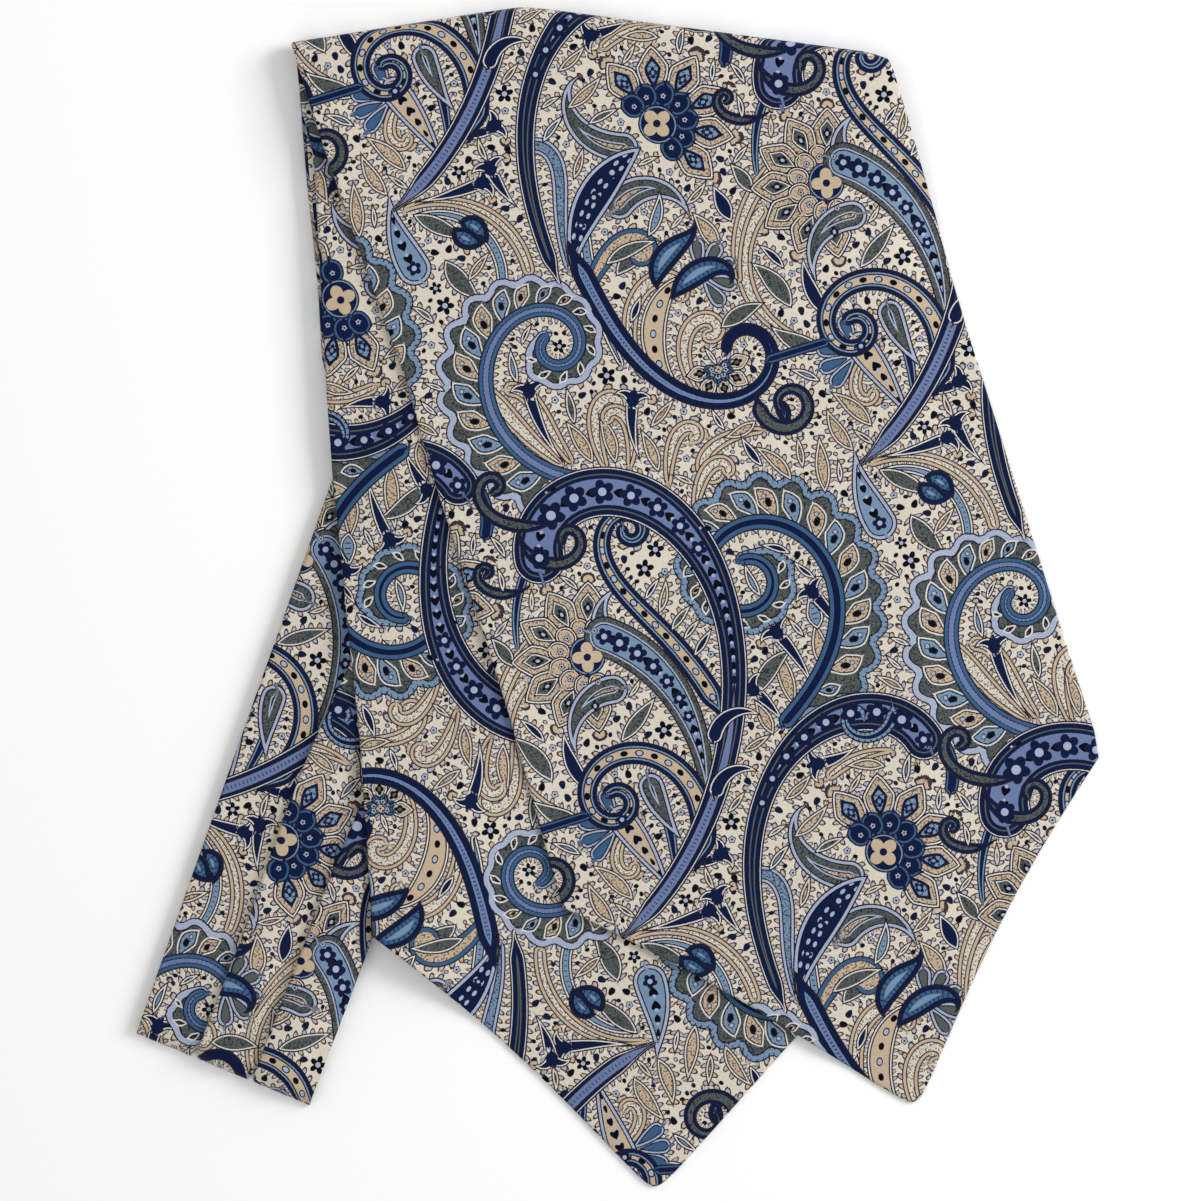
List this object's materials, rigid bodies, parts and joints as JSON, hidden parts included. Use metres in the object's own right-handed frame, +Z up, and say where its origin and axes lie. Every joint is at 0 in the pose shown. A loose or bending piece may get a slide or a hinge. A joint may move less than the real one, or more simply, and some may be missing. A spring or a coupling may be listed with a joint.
{
  "type": "silk cravat",
  "caption": "Printed silk day cravat with two pointed blades and a pleated neck band, folded in half and laid flat.",
  "frame": {"origin": "on the table under the middle of the folded cravat", "axes": "+Y from the points of the blades to the top fold, +X to the right of a person who looks down on it with the points towards them, +Z up off the table"},
  "size_m": [0.2743, 0.336, 0.0103],
  "materials": {
    "printed_silk": "satin"
  },
  "bodies": {
    "root": {"front_blade": "printed_silk", "back_blade": "printed_silk", "neck_band": "printed_silk", "hidden_folds": "printed_silk"}
  },
  "joints": []
}
